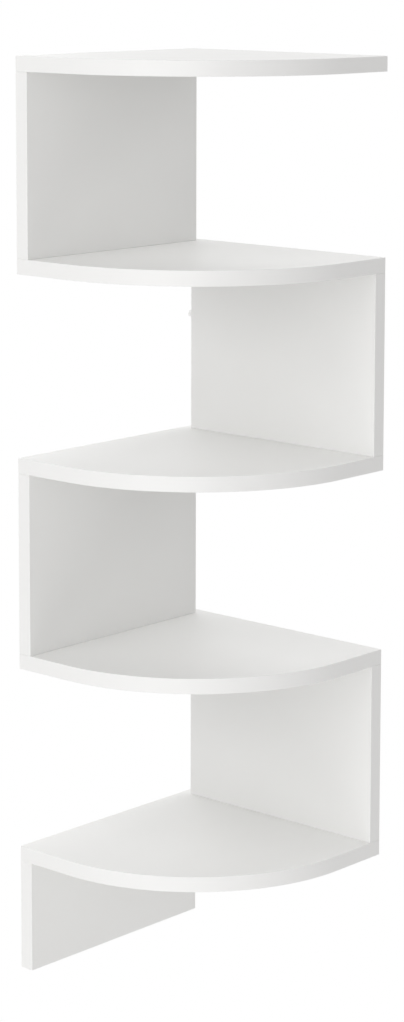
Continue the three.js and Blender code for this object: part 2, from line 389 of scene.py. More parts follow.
def newTree(name, sizes, counts, objects=()):
    tree = bpy.data.node_groups.new(name, "GeometryNodeTree")
    tree.interface.new_socket(name="Geometry", in_out="INPUT", socket_type="NodeSocketGeometry")
    for kind, labels in (("Object", objects), ("Int", counts), ("Float", sizes)):
        for label in labels:
            tree.interface.new_socket(name=label, in_out="INPUT", socket_type="NodeSocket" + kind)
    tree.interface.new_socket(name="Geometry", in_out="OUTPUT", socket_type="NodeSocketGeometry")
    return tree, addNode(tree, "NodeGroupInput").outputs


def endTree(tree, geometry, material):
    whole = addNode(tree, "GeometryNodeRealizeInstances", {0: geometry})
    coloured = addNode(tree, "GeometryNodeSetMaterial", {"Geometry": whole, "Material": material})
    addNode(tree, "NodeGroupOutput", {0: coloured})


# A tree's input "Bore Sides" takes the value "boreSides" of a dictionary
def keyOf(label):
    return label[0].lower() + label[1:].replace(" ", "")


# Runs a tree on a small carrier mesh and gives back the plain result
def grow(tree, carrier, values):
    piece = linkObject("growing", carrier)
    modifier = piece.modifiers.new("grow", "NODES")
    modifier.node_group = tree
    for item in tree.interface.items_tree:
        if item.item_type == "SOCKET" and item.in_out == "INPUT" and keyOf(item.name) in values:
            modifier[item.identifier] = values[keyOf(item.name)]
    mesh = frozenMesh(piece, tree.name)
    bpy.data.objects.remove(piece)
    return mesh


# Loose points that carry one value of each kind
def pointMesh(points, **kinds):
    mesh = bpy.data.meshes.new("points")
    mesh.from_pydata([tuple(point) for point in points], [], [])
    for key, values in kinds.items():
        if isinstance(values[0], float):
            mesh.attributes.new(key, "FLOAT", "POINT").data.foreach_set("value", values)
        else:
            flat = [part for one in values for part in one]
            mesh.attributes.new(key, "FLOAT_VECTOR", "POINT").data.foreach_set("vector", flat)
    return mesh


def readAttribute(tree, name, kind):
    return addNode(tree, "GeometryNodeInputNamedAttribute", {"Name": name}, data_type=kind).outputs[0]


def combine(tree, x=0.0, y=0.0, z=0.0):
    return addNode(tree, "ShaderNodeCombineXYZ", {0: x, 1: y, 2: z})


def cylinder(tree, sides, radius, depth):
    return addNode(tree, "GeometryNodeMeshCylinder", {"Vertices": sides, "Radius": radius, "Depth": depth})


def cone(tree, sides, top, bottom, depth):
    values = {"Vertices": sides, "Radius Top": top, "Radius Bottom": bottom, "Depth": depth}
    return addNode(tree, "GeometryNodeMeshCone", values)


def block(tree, x, y, z):
    return addNode(tree, "GeometryNodeMeshCube", {"Size": combine(tree, x, y, z)})


def moved(tree, shape, x=0.0, y=0.0, z=0.0, turn=(0.0, 0.0, 0.0)):
    values = {"Geometry": shape, "Translation": combine(tree, x, y, z), "Rotation": turn}
    return addNode(tree, "GeometryNodeTransform", values)


# Flat face with rounded corners
def roundedFace(tree, width, height, steps, radius):
    outline = {"Width": width, "Height": height}
    corners = {
        "Curve": addNode(tree, "GeometryNodeCurvePrimitiveQuadrilateral", outline),
        "Count": steps,
        "Radius": radius,
    }
    rounded = addNode(tree, "GeometryNodeFilletCurve", corners, mode="POLY")
    return addNode(tree, "GeometryNodeFillCurve", {0: rounded}, mode="NGONS")


def raisedFace(tree, face, thickness):
    push = {"Mesh": face, "Offset": (0.0, 0.0, 1.0), "Offset Scale": thickness, "Individual": False}
    return addNode(tree, "GeometryNodeExtrudeMesh", push, mode="FACES")


def joined(tree, parts):
    both = addNode(tree, "GeometryNodeJoinGeometry", {0: parts})
    return addNode(tree, "GeometryNodeMergeByDistance", {"Geometry": both, "Distance": touching})


def subtract(tree, body, cutters):
    whole = [addNode(tree, "GeometryNodeRealizeInstances", {0: cutter}) for cutter in cutters]
    parts = {0: body, 1: whole}
    cut = addNode(tree, "GeometryNodeMeshBoolean", parts, operation="DIFFERENCE", solver="EXACT")
    return cut.outputs[0]


# Softens the chosen edges of a board and leaves its bores as they are
def softenEdges(mesh, widthOf):
    work = bmesh.new()
    work.from_mesh(mesh)
    bmesh.ops.remove_doubles(work, verts=work.verts, dist=touching)
    bmesh.ops.dissolve_degenerate(work, edges=work.edges, dist=touching)
    work.normal_update()
    layer = work.edges.layers.float.new("bevel_weight_edge")
    chosen = []
    widest = boards["softEdge"]
    for edge in work.edges:
        if edge.is_manifold and edge.calc_face_angle(0) > math.radians(angles["boardEdge"]):
            width = widthOf(edge)
            if width > 0:
                edge[layer] = width / widest
                chosen.append(edge)
    bmesh.ops.bevel(
        work,
        geom=chosen,
        offset=widest,
        offset_type="OFFSET",
        segments=boards["edgeSteps"],
        profile=0.5,
        affect="EDGES",
        clamp_overlap=False,
    )
    work.to_mesh(mesh)
    work.free()


# Places and bores of the three fittings at each joint
joints = {
    "dowelInset": 0.030,
    "dowelBore": 0.0032,
    "dowelInShelf": 0.0085,
    "dowelInPanel": 0.0175,
    "boltBore": 0.0030,
    "boltInShelf": 0.0085,
    "boltInPanel": 0.0245,
    "camFromEnd": 0.0242,
    "camPocketRadius": 0.0062,
    "camPocketDepth": 0.0098,
    "camPocketSides": 48,
}
rearDowel = boards["setback"] + joints["dowelInset"]
frontDowel = boards["depth"] - joints["dowelInset"]
boltPlace = (boards["setback"] + boards["depth"]) / 2
middle = boards["thickness"] / 2


# Place along the wall, radius and reach of the three bores at a joint
def jointBores(dowelReach, boltReach):
    return (
        (rearDowel, joints["dowelBore"], dowelReach),
        (boltPlace, joints["boltBore"], boltReach),
        (frontDowel, joints["dowelBore"], dowelReach),
    )


# Shelf board: a square with one corner rounded, drilled from its faces
def shelfTree():
    sizes = ("Depth", "Straight", "Thickness", "Underside")
    tree, size = newTree("roundFrontBoard", sizes, ("Front Steps", "Bore Sides"))
    parts = addNode(tree, "ShaderNodeSeparateXYZ", {0: addNode(tree, "GeometryNodeInputPosition")})
    rightOf = calc(tree, "GREATER_THAN", parts.outputs[0], 0.0)
    inFront = calc(tree, "LESS_THAN", parts.outputs[1], 0.0)
    corner = calc(tree, "MULTIPLY", rightOf, inFront)
    radius = calc(tree, "MULTIPLY", corner, calc(tree, "SUBTRACT", size["Depth"], size["Straight"]))
    face = roundedFace(tree, size["Depth"], size["Depth"], size["Front Steps"], radius)
    half = calc(tree, "MULTIPLY", size["Depth"], 0.5)
    offset = combine(tree, half, calc(tree, "MULTIPLY", half, -1.0), size["Underside"])
    placed = addNode(tree, "GeometryNodeSetPosition", {"Geometry": face, "Offset": offset})
    top = raisedFace(tree, placed, size["Thickness"])
    board = joined(tree, [top, addNode(tree, "GeometryNodeFlipFaces", {0: placed})])
    width = readAttribute(tree, "boreRadius", "FLOAT")
    reach = readAttribute(tree, "boreReach", "FLOAT")
    drills = addNode(
        tree,
        "GeometryNodeInstanceOnPoints",
        {
            "Points": size["Geometry"],
            "Instance": cylinder(tree, size["Bore Sides"], 1.0, 2.0),
            "Scale": combine(tree, width, width, reach),
        },
    )
    endTree(tree, subtract(tree, board, [drills]), whiteLaminate)
    return tree


def shelfBores(number):
    points, radii, reaches = [], [], []
    low = underside(number)
    faces = [(number, low)] + ([(number - 1, low + boards["thickness"])] if number > 1 else [])
    for panel, level in faces:
        for along, radius, reach in jointBores(joints["dowelInShelf"], joints["boltInShelf"]):
            points.append(atWall(panel, along, middle, level))
            radii.append(radius)
            reaches.append(reach)
    return pointMesh(points, boreRadius=radii, boreReach=reaches)


# The rim of a shelf, but not the mouths of its bores
def shelfEdge(edge):
    first, second = edge.verts[0].co, edge.verts[1].co
    rise = abs(first.z - second.z)
    if rise > touching:
        return boards["softEdge"] if rise > boards["thickness"] - nearly else 0
    point = (first + second) / 2
    x = max(point.x - boards["straight"], 0)
    y = max(-point.y - boards["straight"], 0)
    onFront = boards["depth"] - boards["straight"] - math.hypot(x, y) < nearly
    atWalls = point.x < nearly or point.y > -nearly
    return boards["softEdge"] if onFront or atWalls else 0


def makeShelves():
    tree = shelfTree()
    for number in range(1, boards["count"] + 1):
        mesh = grow(tree, shelfBores(number), {**boards, "underside": underside(number)})
        softenEdges(mesh, shelfEdge)
        finishPiece("shelfBoard%d" % number, mesh, ["shelf_%d" % number], whiteLaminate)
    print("shelves made:", boards["count"])


makeShelves()


# Steel plate with a keyhole, let into the wall face of the two upper panels
plates = {
    "panels": (1, 2),
    "width": 0.017,
    "height": 0.040,
    "thickness": 0.0015,
    "corner": 0.003,
    "cornerSteps": 10,
    "clearance": 0.00025,
    "recessSteps": 8,
    "keyholeRadius": 0.0046,
    "keyholeSides": 48,
    "slotWidth": 0.0048,
    "slotSides": 32,
    "slotRise": 0.009,
    "keyholeDrop": 0.003,
    "screwRise": 0.0155,
    "sinkRadius": 0.0029,
    "sinkSides": 40,
    "shankHole": 0.0016,
    "sinkDepth": 0.0013,
    "rimSoftness": 0.00015,
    "rimSteps": 2,
    "pocketRadius": 0.0052,
    "pocketDepth": 0.00735,
    "pocketSteps": 16,
    "screwReach": 0.0095,
}
# Bore for the stud, in the rear edge of one panel
studBore = {
    "panel": 2,
    "belowShelf": 0.0487,
    "radius": 0.0019,
    "reach": 0.0185,
}
studHeight = underside(studBore["panel"]) - studBore["belowShelf"]


def plateMiddle(number):
    low, high = panelSpan(number)
    return (low + high) / 2


# Closed prism between two outlines with the same number of points
def addPrism(work, first, second):
    rings = [[work.verts.new(point) for point in ring] for ring in (first, second)]
    count = len(first)
    faces = [work.faces.new(ring) for ring in rings]
    for i in range(count):
        j = (i + 1) % count
        faces.append(work.faces.new((rings[0][i], rings[0][j], rings[1][j], rings[1][i])))
    bmesh.ops.recalc_face_normals(work, faces=faces)


def addAtWall(work, number, outline, near, far):
    addPrism(work, *[[atWall(number, along, away, up) for along, up in outline] for away in (near, far)])


# Points of a circle, or of a part of one with both its ends
def arc(along, up, radius, sides, start=0.0, sweep=2 * math.pi):
    points = sides if sweep == 2 * math.pi else sides + 1
    turns = [start + sweep * i / sides for i in range(points)]
    return [(along + radius * math.cos(turn), up + radius * math.sin(turn)) for turn in turns]


def roundedOutline(along, up, width, height, corner, steps):
    outline = []
    for turn, (sx, sz) in enumerate(((1, 1), (-1, 1), (-1, -1), (1, -1))):
        middleX = along + sx * (width / 2 - corner)
        middleZ = up + sz * (height / 2 - corner)
        outline += arc(middleX, middleZ, corner, steps, turn * math.pi / 2, math.pi / 2)
    return outline


def meshFrom(work, name):
    mesh = bpy.data.meshes.new(name)
    work.to_mesh(mesh)
    work.free()
    return mesh


def cutBoard(board, cutters, name):
    body = linkObject("boardBeingCut", board)
    tools = []
    for i, cutter in enumerate(cutters):
        tool = linkObject("cutter%d" % i, cutter)
        modifier = body.modifiers.new("cut%d" % i, "BOOLEAN")
        modifier.operation = "DIFFERENCE"
        modifier.solver = "EXACT"
        modifier.object = tool
        tools.append(tool)
    mesh = frozenMesh(body, name)
    for piece in [body] + tools:
        bpy.data.objects.remove(piece)
    return mesh


# Bores from the panel's ends, and the round pockets of the cam locks
def jointCutters(number):
    low, high = panelSpan(number)
    over = boards["overrun"]
    bores, pockets = bmesh.new(), bmesh.new()
    for end in panelEnds(number):
        for along, radius, reach in jointBores(joints["dowelInPanel"], joints["boltInPanel"]):
            place = atWall(number, along, middle, 0)
            ring = arc(place.x, place.y, radius, boards["boreSides"])
            levels = (high - reach, high + over) if end == "top" else (low - over, low + reach)
            addPrism(bores, *[[(x, y, level) for x, y in ring] for level in levels])
        up = high - joints["camFromEnd"] if end == "top" else low + joints["camFromEnd"]
        outline = arc(boltPlace, up, joints["camPocketRadius"], joints["camPocketSides"])
        addAtWall(pockets, number, outline, -over, joints["camPocketDepth"])
    return [meshFrom(bores, "bores"), meshFrom(pockets, "pockets")]


# Recess for the plate, room behind it for a screw head, and two screw bores
def plateCutters(number):
    up = plateMiddle(number)
    loose = plates["clearance"]
    recess, pocket = bmesh.new(), bmesh.new()
    wide, high = plates["width"] + 2 * loose, plates["height"] + 2 * loose
    outline = roundedOutline(boltPlace, up, wide, high, plates["corner"] + loose, plates["recessSteps"])
    addAtWall(recess, number, outline, -boards["overrun"], plates["thickness"] + loose)
    bottom = up - plates["keyholeDrop"]
    radius, steps = plates["pocketRadius"], plates["pocketSteps"]
    outline = arc(boltPlace, bottom + plates["slotRise"], radius, steps, 0, math.pi)
    outline += arc(boltPlace, bottom, radius, steps, math.pi, math.pi)
    start = boards["overrun"] / 2  # inside the recess
    addAtWall(pocket, number, outline, start, plates["pocketDepth"])
    for side in (1, -1):
        outline = arc(boltPlace, up + side * plates["screwRise"], plates["shankHole"], boards["boreSides"])
        addAtWall(pocket, number, outline, start, plates["screwReach"])
    return [meshFrom(recess, "recess"), meshFrom(pocket, "pocket")]


def studCutter():
    ring = arc(-middle, studHeight, studBore["radius"], boards["boreSides"])
    ends = (boards["setback"] - boards["overrun"], boards["setback"] + studBore["reach"])
    work = bmesh.new()
    addPrism(work, *[[(x, y, z) for y, z in ring] for x in ends])
    return meshFrom(work, "studBore")


# The twelve edges of a panel; the ends that meet a shelf stay crisp
def panelEdge(edge, levels):
    point = (edge.verts[0].co + edge.verts[1].co) / 2
    onFace = [min(abs(point[k] - level) for level in levels[k]) < nearly for k in range(3)]
    if sum(onFace) < 2:
        return 0
    free = point.z < nearly
    return boards["jointEdge"] if onFace[2] and not free else boards["softEdge"]


def makePanels():
    for number in range(1, boards["count"] + 1):
        low, high = panelSpan(number)
        top = high - boards["tightSeam"]
        bottom = low + (boards["tightSeam"] if low > 0 else 0)
        outline = [(boards["setback"], bottom), (boards["depth"], bottom)]
        outline += [(boards["depth"], top), (boards["setback"], top)]
        work = bmesh.new()
        addAtWall(work, number, outline, 0, boards["thickness"])
        # Where the board's six faces lie, along each axis
        levels = [sorted(set(round(vert.co[k], 6) for vert in work.verts)) for k in range(3)]
        cutters = jointCutters(number)
        if number in plates["panels"]:
            cutters += plateCutters(number)
        if number == studBore["panel"]:
            cutters.append(studCutter())
        mesh = cutBoard(meshFrom(work, "board"), cutters, "panelBoard")
        softenEdges(mesh, lambda edge: panelEdge(edge, levels))
        finishPiece("panelBoard%d" % number, mesh, ["side_panel_%d" % number], whiteLaminate)
    print("panels made:", boards["count"])


makePanels()


# What a turned fitting has where its own dictionary doesn't say
plainFitting = {
    "threadFrom": 0.0,
    "threadTo": 0.0,
    "threadPitch": 1.0,
    "threadStep": 1.0,  # height between two points of the profile, on a thread
    "crossRadius": 0.001,
    "seam": 0.0000001,
}
turnedCounts = ("Sides", "Flutes")
turnedSizes = ("Thread From", "Thread To", "Thread Pitch", "Thread Depth", "Flute Depth")
turnedSizes += ("Cross Radius", "Cross Depth", "Cross Level")
thinnest = 0.4  # a thread or flute leaves at least this share of the radius


# Turns a profile of (radius, height) points about Z, with thread or flutes
def turnedBody(tree, size):
    count = addNode(tree, "GeometryNodeAttributeDomainSize", {0: size["Geometry"]}).outputs[0]
    columns = calc(tree, "ADD", size["Sides"], 1.0)
    grid = addNode(tree, "GeometryNodeMeshGrid", {"Vertices X": columns, "Vertices Y": count})
    index = addNode(tree, "GeometryNodeInputIndex")
    row = calc(tree, "MODULO", index, count)
    column = calc(tree, "FLOOR", calc(tree, "DIVIDE", calc(tree, "ADD", index, 0.5), count))
    share = calc(tree, "DIVIDE", column, size["Sides"])
    sampled = addNode(
        tree,
        "GeometryNodeSampleIndex",
        {"Geometry": size["Geometry"], "Value": addNode(tree, "GeometryNodeInputPosition"), "Index": row},
        data_type="FLOAT_VECTOR",
        domain="POINT",
    )
    parts = addNode(tree, "ShaderNodeSeparateXYZ", {0: sampled})
    radius, height = parts.outputs[0], parts.outputs[2]
    angle = calc(tree, "MULTIPLY", share, 2 * math.pi)
    # Thread: a ridge that climbs one pitch in each turn
    turns = calc(tree, "SUBTRACT", calc(tree, "DIVIDE", height, size["Thread Pitch"]), share)
    wave = calc(tree, "ABSOLUTE", calc(tree, "SUBTRACT", calc(tree, "FRACT", turns), 0.5))
    groove = calc(tree, "MULTIPLY", calc(tree, "MULTIPLY", wave, 2.0), size["Thread Depth"])
    above = calc(tree, "GREATER_THAN", height, size["Thread From"])
    below = calc(tree, "LESS_THAN", height, size["Thread To"])
    groove = calc(tree, "MULTIPLY", groove, calc(tree, "MULTIPLY", above, below))
    # Flutes: shallow grooves along the piece
    ripple = calc(tree, "COSINE", calc(tree, "MULTIPLY", angle, size["Flutes"]))
    halfDepth = calc(tree, "MULTIPLY", size["Flute Depth"], 0.5)
    flute = calc(tree, "MULTIPLY", calc(tree, "ADD", ripple, 1.0), halfDepth)
    left = calc(tree, "SUBTRACT", radius, calc(tree, "ADD", groove, flute))
    radius = calc(tree, "MAXIMUM", left, calc(tree, "MULTIPLY", radius, thinnest))
    x = calc(tree, "MULTIPLY", radius, calc(tree, "COSINE", angle))
    y = calc(tree, "MULTIPLY", radius, calc(tree, "SINE", angle))
    place = combine(tree, x, y, height)
    wrapped = addNode(tree, "GeometryNodeSetPosition", {"Geometry": grid, "Position": place})
    return addNode(tree, "GeometryNodeMergeByDistance", {"Geometry": wrapped, "Distance": 2 * touching})


# Screwdriver's cross, as shares of its radius and depth
cross = {
    "armWidth": 0.36,
    "coneDepth": 1.4,
    "coneDrop": 1.36,
    "coneSides": 16,
}


def crossCutters(tree, size):
    long = calc(tree, "MULTIPLY", size["Cross Radius"], 2.0)
    wide = calc(tree, "MULTIPLY", size["Cross Radius"], cross["armWidth"])
    deep = calc(tree, "MULTIPLY", size["Cross Depth"], 2.0)
    arms = [block(tree, x, y, deep) for x, y in ((long, wide), (wide, long))]
    coneDepth = calc(tree, "MULTIPLY", size["Cross Depth"], cross["coneDepth"])
    drop = calc(tree, "MULTIPLY", size["Cross Depth"], cross["coneDrop"])
    sink = cone(tree, cross["coneSides"], wide, 0.0, coneDepth)
    cutters = [moved(tree, arm, z=size["Cross Level"]) for arm in arms]
    return cutters + [moved(tree, sink, z=calc(tree, "SUBTRACT", size["Cross Level"], drop))]


def spreadCopies(tree, size, body):
    places = addNode(tree, "GeometryNodeObjectInfo", {"Object": size["Places"]}).outputs["Geometry"]
    turn = readAttribute(tree, "turn", "FLOAT_VECTOR")
    values = {"Points": places, "Instance": body, "Rotation": turn}
    return addNode(tree, "GeometryNodeInstanceOnPoints", values)


# Lathe-turned fitting, copied to every place that carries it
def turnedTree(name, material):
    tree, size = newTree(name, turnedSizes, turnedCounts, ("Places",))
    body = turnedBody(tree, size)
    crossed = subtract(tree, body, crossCutters(tree, size))
    hasCross = calc(tree, "GREATER_THAN", size["Cross Depth"], 0.0)
    choice = {"Switch": hasCross, "False": body, "True": crossed}
    chosen = addNode(tree, "GeometryNodeSwitch", choice, input_type="GEOMETRY")
    endTree(tree, spreadCopies(tree, size, chosen), material)
    return tree


# Profile with extra points where a thread needs them
def profileMesh(values):
    points, step = values["profile"], values["threadStep"]
    full = []
    for (r0, z0), (r1, z1) in zip(points, points[1:]):
        full.append((r0, z0))
        low = max(min(z0, z1), values["threadFrom"])
        high = min(max(z0, z1), values["threadTo"])
        if high - low > step:
            steps = int(round((z1 - z0) / step))
            for i in range(1, steps):
                share = i / steps
                full.append((r0 + (r1 - r0) * share, z0 + (z1 - z0) * share))
    full.append(points[-1])
    mesh = bpy.data.meshes.new("profile")
    mesh.from_pydata([(radius, 0, height) for radius, height in full], [], [])
    return mesh


# One fitting at all its places, with its seams merged and its faces outwards
def growCopies(tree, carrier, places, values, seam):
    turns = [tuple(turn) for point, turn in places]
    holder = linkObject("places", pointMesh([point for point, turn in places], turn=turns))
    mesh = grow(tree, carrier, {**values, "places": holder})
    bpy.data.objects.remove(holder)
    work = bmesh.new()
    work.from_mesh(mesh)
    bmesh.ops.remove_doubles(work, verts=work.verts, dist=seam)
    bmesh.ops.recalc_face_normals(work, faces=work.faces)
    return mesh, work


def makeTurned(name, makeTree, values, places, nodes, material):
    values = {**plainFitting, **values}
    mesh, work = growCopies(makeTree(name, material), profileMesh(values), places, values, values["seam"])
    work.to_mesh(mesh)
    work.free()
    finishPiece(name, mesh, nodes, material)
    print(name, "made:", len(places))


# Every joint: its panel, which end it is, and the shelf face it meets
def allJoints():
    for number in range(1, boards["count"] + 1):
        low, high = panelSpan(number)
        for end in panelEnds(number):
            yield number, end, high if end == "top" else low


# Fluted beech dowels, two at each joint
dowels = {
    "length": 0.025,
    "inShelf": 0.008,
    "sides": 80,
    "flutes": 20,
    "fluteDepth": 0.00022,
    "profile": [
        (0, 0),
        (0.0021, 0),
        (0.0026, 0.0002),
        (0.0030, 0.0009),
        (0.0030, 0.0241),
        (0.0026, 0.0248),
        (0.0021, 0.025),
        (0, 0.025),
    ],
}


def makeDowels():
    places, nodes = [], []
    upright = turnTo(Vector((0, 0, 1)), Vector((0, 1, 0)))
    for number, end, face in allJoints():
        low = face + dowels["inShelf"] - dowels["length"] if end == "top" else face - dowels["inShelf"]
        for place, along in (("rear", rearDowel), ("front", frontDowel)):
            places.append((atWall(number, along, middle, low), upright))
            nodes.append("side_panel_%d_%s_dowel_%s" % (number, end, place))
    makeTurned("flutedDowels", turnedTree, dowels, places, nodes, turnedBeech)


# Cam bolts: coarse thread in the shelf, stem, neck and head in the cam
bolts = {
    "sides": 28,
    "threadFrom": -0.0079,
    "threadTo": -0.0006,
    "threadPitch": 0.0014,
    "threadDepth": 0.0007,
    "threadStep": 0.00014,
    "crossRadius": 0.0013,
    "crossDepth": 0.0010,
    "crossLevel": 0.0242,
    "profile": [
        (0, -0.008),
        (0.0017, -0.008),
        (0.0028, -0.0068),
        (0.0028, 0),
        (0.0026, 0.0004),
        (0.0022, 0.0006),
        (0.0022, 0.0186),
        (0.0020, 0.0189),
        (0.0015, 0.0193),
        (0.0015, 0.0210),
        (0.0019, 0.0212),
        (0.0027, 0.0217),
        (0.0027, 0.0233),
        (0.0025, 0.0238),
        (0.0019, 0.0242),
        (0, 0.0242),
    ],
}


def makeBolts():
    places, nodes = [], []
    for number, end, face in allJoints():
        aim = Vector((0, 0, -1)) if end == "top" else Vector((0, 0, 1))
        places.append((atWall(number, boltPlace, middle, face), turnTo(aim, Vector((0, 1, 0)))))
        nodes.append("side_panel_%d_%s_cam_bolt" % (number, end))
    makeTurned("camBolts", turnedTree, bolts, places, nodes, platedSteel)


# Countersunk screws that hold the plates
screws = {
    "sides": 28,
    "threadFrom": -0.0088,
    "threadTo": -0.0019,
    "threadPitch": 0.0011,
    "threadDepth": 0.0004,
    "threadStep": 0.00011,
    "crossRadius": 0.0015,
    "crossDepth": 0.0008,
    "crossLevel": 0.0,
    "profile": [
        (0, -0.0090),
        (0.0004, -0.0085),
        (0.0014, -0.0074),
        (0.0014, -0.0014),
        (0.0016, -0.0011),
        (0.00262, -0.00012),
        (0.00262, -0.00004),
        (0.0025, 0.0),
        (0, 0.0),
    ],
}


def makeScrews():
    places, nodes = [], []
    for number in plates["panels"]:
        turn = turnTo(towardsWall(number), Vector((0, 0, 1)))
        for name, side in (("upper", 1), ("lower", -1)):
            up = plateMiddle(number) + side * plates["screwRise"]
            places.append((atWall(number, boltPlace, 0, up), turn))
            nodes.append("side_panel_%d_plate_screw_%s" % (number, name))
    makeTurned("plateScrews", turnedTree, screws, places, nodes, platedSteel)


# Spacer stud: domed head outside the panel's rear edge, barbed shank inside
stud = {
    "sides": 40,
    "barbs": 5,
    "barbStep": 0.0028,
    "barbBack": 0.0003,
    "firstBarb": -0.0150,
    "barbRadius": 0.0017,
    "coreRadius": 0.0013,
    "tip": [(0, -0.018), (0.0005, -0.0173)],
    "head": [
        (0.0013, 0.0002),
        (0.0028, 0.0002),
        (0.0030, 0.0004),
        (0.0030, 0.0058),
        (0.0029, 0.0060),
        (0.0026, 0.00635),
        (0.0022, 0.00668),
        (0.0017, 0.00688),
        (0.0010, 0.00697),
        (0, 0.0070),
    ],
}


# Each barb widens away from the tip and steps back to the core
def barbedProfile(values):
    profile = list(values["tip"])
    for i in range(values["barbs"]):
        level = values["firstBarb"] + i * values["barbStep"]
        profile += [(values["barbRadius"], level), (values["coreRadius"], level + values["barbBack"])]
    return profile + values["head"]


def makeStud():
    number = studBore["panel"]
    place = atWall(number, boards["setback"], middle, studHeight)
    places = [(place, turnTo(Vector((-1, 0, 0)), Vector((0, 0, 1))))]
    values = {**stud, "profile": barbedProfile(stud)}
    nodes = ["side_panel_%d_edge_stud" % number]
    makeTurned("edgeStud", turnedTree, values, places, nodes, whiteNylon)


makeDowels()
makeBolts()
makeScrews()
makeStud()


# Cam lock: die-cast drum with a bolt socket, a driver's cross and an arrow
cams = {
    "sides": 64,
    "crossRadius": 0.0036,
    "crossDepth": 0.0016,
    "socketSides": 32,
    "socketRadius": 0.0031,
    "socketDepth": 0.0058,
    "socketBehind": 0.0012,
    "socketReach": 0.0070,
    "arrowSides": 3,
    "arrowSize": 0.0006,
    "arrowDepth": 0.00048,
    "arrowPlace": 0.0046,
    "recess": 0.0002,
    "profile": [
        (0, -0.0094),
        (0.0056, -0.0094),
        (0.0060, -0.0090),
        (0.0060, -0.00055),
        (0.00585, -0.0002),
        (0.0055, -0.0002),
        (0.0053, 0),
        (0, 0),
    ],
}


def camTree(name, material):
    sizes = ("Socket Radius", "Socket Depth", "Socket Behind", "Socket Reach")
    sizes += ("Arrow Size", "Arrow Depth", "Arrow Place")
    counts = turnedCounts + ("Socket Sides", "Arrow Sides")
    tree, size = newTree(name, turnedSizes + sizes, counts, ("Places",))
    body = turnedBody(tree, size)
    length = calc(tree, "ADD", size["Socket Behind"], size["Socket Reach"])
    ahead = calc(tree, "SUBTRACT", size["Socket Reach"], size["Socket Behind"])
    depth = calc(tree, "MULTIPLY", size["Socket Depth"], -1.0)
    socket = cylinder(tree, size["Socket Sides"], size["Socket Radius"], length)
    centre = calc(tree, "MULTIPLY", ahead, 0.5)
    socket = moved(tree, socket, y=centre, z=depth, turn=(math.pi / 2, 0.0, 0.0))
    arrow = cylinder(tree, size["Arrow Sides"], size["Arrow Size"], size["Arrow Depth"])
    arrow = moved(tree, arrow, y=size["Arrow Place"], turn=(0.0, 0.0, math.pi / 2))
    cut = subtract(tree, body, crossCutters(tree, size) + [socket, arrow])
    endTree(tree, spreadCopies(tree, size, cut), material)
    return tree


def makeCams():
    places, nodes = [], []
    for number, end, face in allJoints():
        aim = 1 if end == "top" else -1
        up = face - aim * joints["camFromEnd"]
        turn = turnTo(towardsWall(number), Vector((0, 0, aim)))
        places.append((atWall(number, boltPlace, cams["recess"], up), turn))
        nodes.append("side_panel_%d_%s_cam" % (number, end))
    makeTurned("camLocks", camTree, cams, places, nodes, castZinc)


makeCams()


# Stamped plate: rounded outline, keyhole and two countersunk holes
def plateTree(name, material):
    sizes = ("Width", "Height", "Thickness", "Corner", "Keyhole Radius", "Slot Width", "Slot Rise")
    sizes += ("Keyhole Drop", "Screw Rise", "Sink Radius", "Shank Hole", "Sink Depth")
    counts = ("Corner Steps", "Keyhole Sides", "Slot Sides", "Sink Sides")
    tree, size = newTree(name, sizes, counts, ("Places",))
    face = roundedFace(tree, size["Width"], size["Height"], size["Corner Steps"], size["Corner"])
    # The plate grows away from the wall, so all but the wall face is turned round
    grown = raisedFace(tree, face, calc(tree, "MULTIPLY", size["Thickness"], -1.0))
    blank = joined(tree, [addNode(tree, "GeometryNodeFlipFaces", {"Mesh": grown}), face])
    deep = calc(tree, "MULTIPLY", size["Thickness"], 4.0)  # cutters stand out of both faces
    bottom = calc(tree, "MULTIPLY", size["Keyhole Drop"], -1.0)
    slotTop = calc(tree, "ADD", bottom, size["Slot Rise"])
    slotMiddle = calc(tree, "ADD", bottom, calc(tree, "MULTIPLY", size["Slot Rise"], 0.5))
    slotEnd = cylinder(tree, size["Slot Sides"], calc(tree, "MULTIPLY", size["Slot Width"], 0.5), deep)
    cutters = [
        moved(tree, cylinder(tree, size["Keyhole Sides"], size["Keyhole Radius"], deep), y=bottom),
        moved(tree, slotEnd, y=slotTop),
        moved(tree, block(tree, size["Slot Width"], size["Slot Rise"], deep), y=slotMiddle),
    ]
    # Each screw hole is a cone that goes on opening beyond the wall face, and a shank hole
    wide = calc(tree, "SUBTRACT", calc(tree, "MULTIPLY", size["Sink Radius"], 2.0), size["Shank Hole"])
    sinkLevel = calc(tree, "MULTIPLY", size["Sink Depth"], -1.0)
    coneDepth = calc(tree, "MULTIPLY", size["Sink Depth"], 2.0)
    for side in (1.0, -1.0):
        up = calc(tree, "MULTIPLY", size["Screw Rise"], side)
        sink = cone(tree, size["Sink Sides"], wide, size["Shank Hole"], coneDepth)
        hole = cylinder(tree, size["Sink Sides"], size["Shank Hole"], deep)
        cutters += [moved(tree, sink, y=up, z=sinkLevel), moved(tree, hole, y=up)]
    endTree(tree, spreadCopies(tree, size, subtract(tree, blank, cutters)), material)
    return tree


